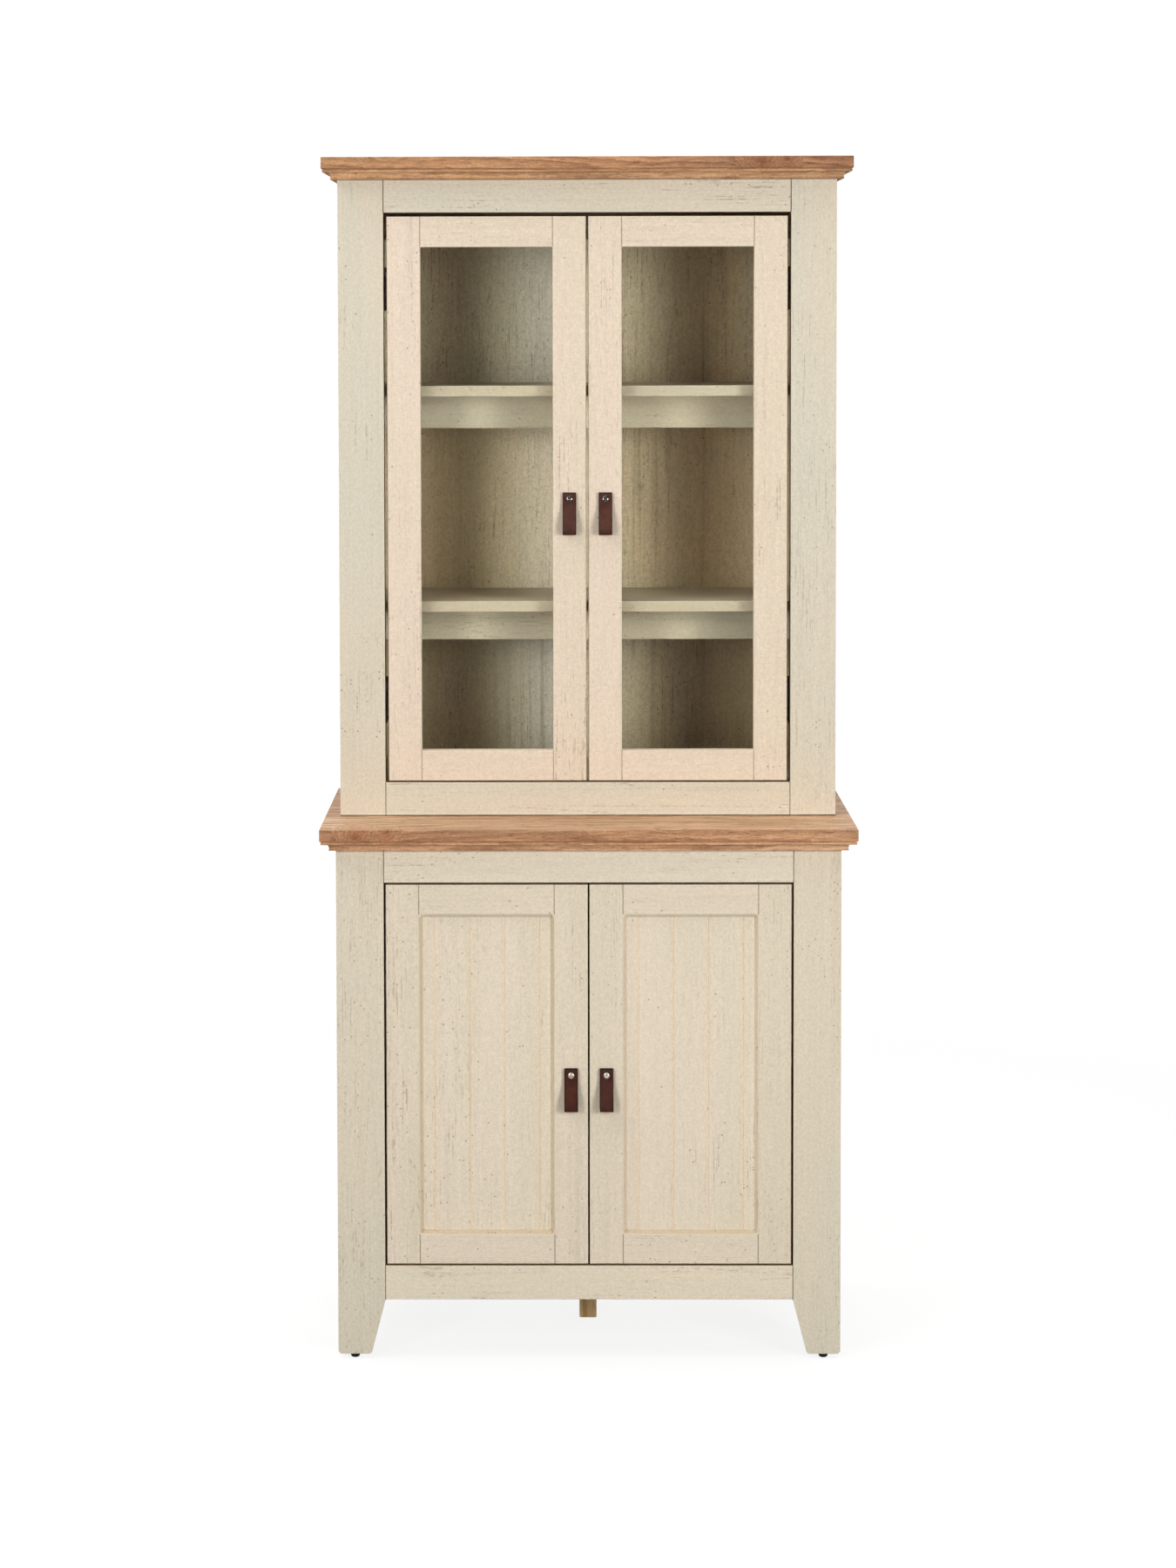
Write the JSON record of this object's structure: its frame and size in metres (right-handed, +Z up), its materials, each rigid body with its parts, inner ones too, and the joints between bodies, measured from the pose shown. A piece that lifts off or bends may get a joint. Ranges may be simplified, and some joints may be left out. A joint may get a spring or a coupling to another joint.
{
  "type": "display unit",
  "caption": "Tall two-part dresser: cupboard base with framed doors on tapered feet, oak-effect worktop, glazed display cabinet with shelves on top, leather strap handles.",
  "frame": {"origin": "on the floor, at the middle of the footprint of the worktop", "axes": "+X to the right seen from the front, +Y to the back, +Z up"},
  "size_m": [0.8, 0.4, 1.804],
  "materials": {
    "cream_carcass": "satin paint over wood grain, brushed grey-brown streaks",
    "cream_display_door": "satin paint over wood grain, brushed grey-brown streaks",
    "cream_base_door": "satin paint over wood grain, brushed grey-brown streaks",
    "cream_inside": "satin paint over wood grain",
    "oak": "matt oak grain",
    "leg_wood": "raw",
    "dowel_wood": "raw",
    "strap_leather": "smooth, slight sheen, darker cut edges",
    "strap_screw": "polished",
    "hinge_steel": "nickel plated",
    "glass": "clear",
    "glide": "matt"
  },
  "bodies": {
    "root": {"base_apron": "cream_carcass", "base_back_panel": "cream_inside", "base_floor_panel": "cream_inside", "base_post_left": "cream_carcass", "base_post_right": "cream_carcass", "base_shelf": "cream_inside", "base_side_left": "cream_carcass", "base_side_right": "cream_carcass", "base_top_rail": "cream_carcass", "centre_leg": "leg_wood", "crown_board": "oak", "crown_moulding": "oak", "display_shelves": "cream_inside", "glides": "glide", "hanging_rail": "cream_inside", "hinge_arms": "hinge_steel", "hinge_blocks": "cream_inside", "joining_dowels": "dowel_wood", "shelf_rails": "cream_inside", "upper_back_panel": "cream_inside", "upper_bottom_rail": "cream_carcass", "upper_floor_panel": "cream_inside", "upper_post_left": "cream_carcass", "upper_post_right": "cream_carcass", "upper_side_left": "cream_carcass", "upper_side_right": "cream_carcass", "upper_top_panel": "cream_inside", "upper_top_rail": "cream_carcass", "worktop": "oak", "worktop_moulding": "oak"},
    "door_display_left": {"display_door_left_beads": "cream_display_door", "display_door_left_glass": "glass", "display_door_left_hinge_cups": "hinge_steel", "display_door_left_rails": "cream_display_door", "display_door_left_screw": "strap_screw", "display_door_left_stiles": "cream_display_door", "display_door_left_strap": "strap_leather"},
    "hinge_link_display_left": {"display_door_left_hinge_links": "hinge_steel"},
    "door_display_right": {"display_door_right_beads": "cream_display_door", "display_door_right_glass": "glass", "display_door_right_hinge_cups": "hinge_steel", "display_door_right_rails": "cream_display_door", "display_door_right_screw": "strap_screw", "display_door_right_stiles": "cream_display_door", "display_door_right_strap": "strap_leather"},
    "hinge_link_display_right": {"display_door_right_hinge_links": "hinge_steel"},
    "door_base_left": {"base_door_left_hinge_cups": "hinge_steel", "base_door_left_panel": "cream_base_door", "base_door_left_rails": "cream_base_door", "base_door_left_screw": "strap_screw", "base_door_left_stiles": "cream_base_door", "base_door_left_strap": "strap_leather"},
    "hinge_link_base_left": {"base_door_left_hinge_links": "hinge_steel"},
    "door_base_right": {"base_door_right_hinge_cups": "hinge_steel", "base_door_right_panel": "cream_base_door", "base_door_right_rails": "cream_base_door", "base_door_right_screw": "strap_screw", "base_door_right_stiles": "cream_base_door", "base_door_right_strap": "strap_leather"},
    "hinge_link_base_right": {"base_door_right_hinge_links": "hinge_steel"}
  },
  "joints": [
    {"name": "hinge_link_display_left_turn", "type": "hinge", "parent": "root", "child": "hinge_link_display_left", "pos_m": [-0.2637, -0.0422, 1.2905], "axis": [0, 0, 1], "range_deg": [0, 18.95]},
    {"name": "door_display_left_swing", "type": "hinge", "parent": "hinge_link_display_left", "child": "door_display_left", "pos_m": [-0.2921, -0.0638, 1.2905], "axis": [0, 0, -1], "range_deg": [0, 113.91]},
    {"name": "hinge_link_display_right_turn", "type": "hinge", "parent": "root", "child": "hinge_link_display_right", "pos_m": [0.2637, -0.0422, 1.2905], "axis": [0, 0, -1], "range_deg": [0, 18.95]},
    {"name": "door_display_right_swing", "type": "hinge", "parent": "hinge_link_display_right", "child": "door_display_right", "pos_m": [0.2921, -0.0638, 1.2905], "axis": [0, 0, 1], "range_deg": [0, 113.91]},
    {"name": "hinge_link_base_left_turn", "type": "hinge", "parent": "root", "child": "hinge_link_base_left", "pos_m": [-0.2641, -0.1472, 0.43125], "axis": [0, 0, 1], "range_deg": [0, 18.95]},
    {"name": "door_base_left_swing", "type": "hinge", "parent": "hinge_link_base_left", "child": "door_base_left", "pos_m": [-0.2925, -0.1688, 0.43125], "axis": [0, 0, -1], "range_deg": [0, 113.91]},
    {"name": "hinge_link_base_right_turn", "type": "hinge", "parent": "root", "child": "hinge_link_base_right", "pos_m": [0.2641, -0.1472, 0.43125], "axis": [0, 0, -1], "range_deg": [0, 18.95]},
    {"name": "door_base_right_swing", "type": "hinge", "parent": "hinge_link_base_right", "child": "door_base_right", "pos_m": [0.2925, -0.1688, 0.43125], "axis": [0, 0, 1], "range_deg": [0, 113.91]}
  ],
  "couplings": [
    {"joint": "hinge_link_display_left_turn", "follows": "door_display_left_swing", "ratio": 0.16597},
    {"joint": "hinge_link_display_right_turn", "follows": "door_display_right_swing", "ratio": 0.16597},
    {"joint": "hinge_link_base_left_turn", "follows": "door_base_left_swing", "ratio": 0.16597},
    {"joint": "hinge_link_base_right_turn", "follows": "door_base_right_swing", "ratio": 0.16597}
  ]
}
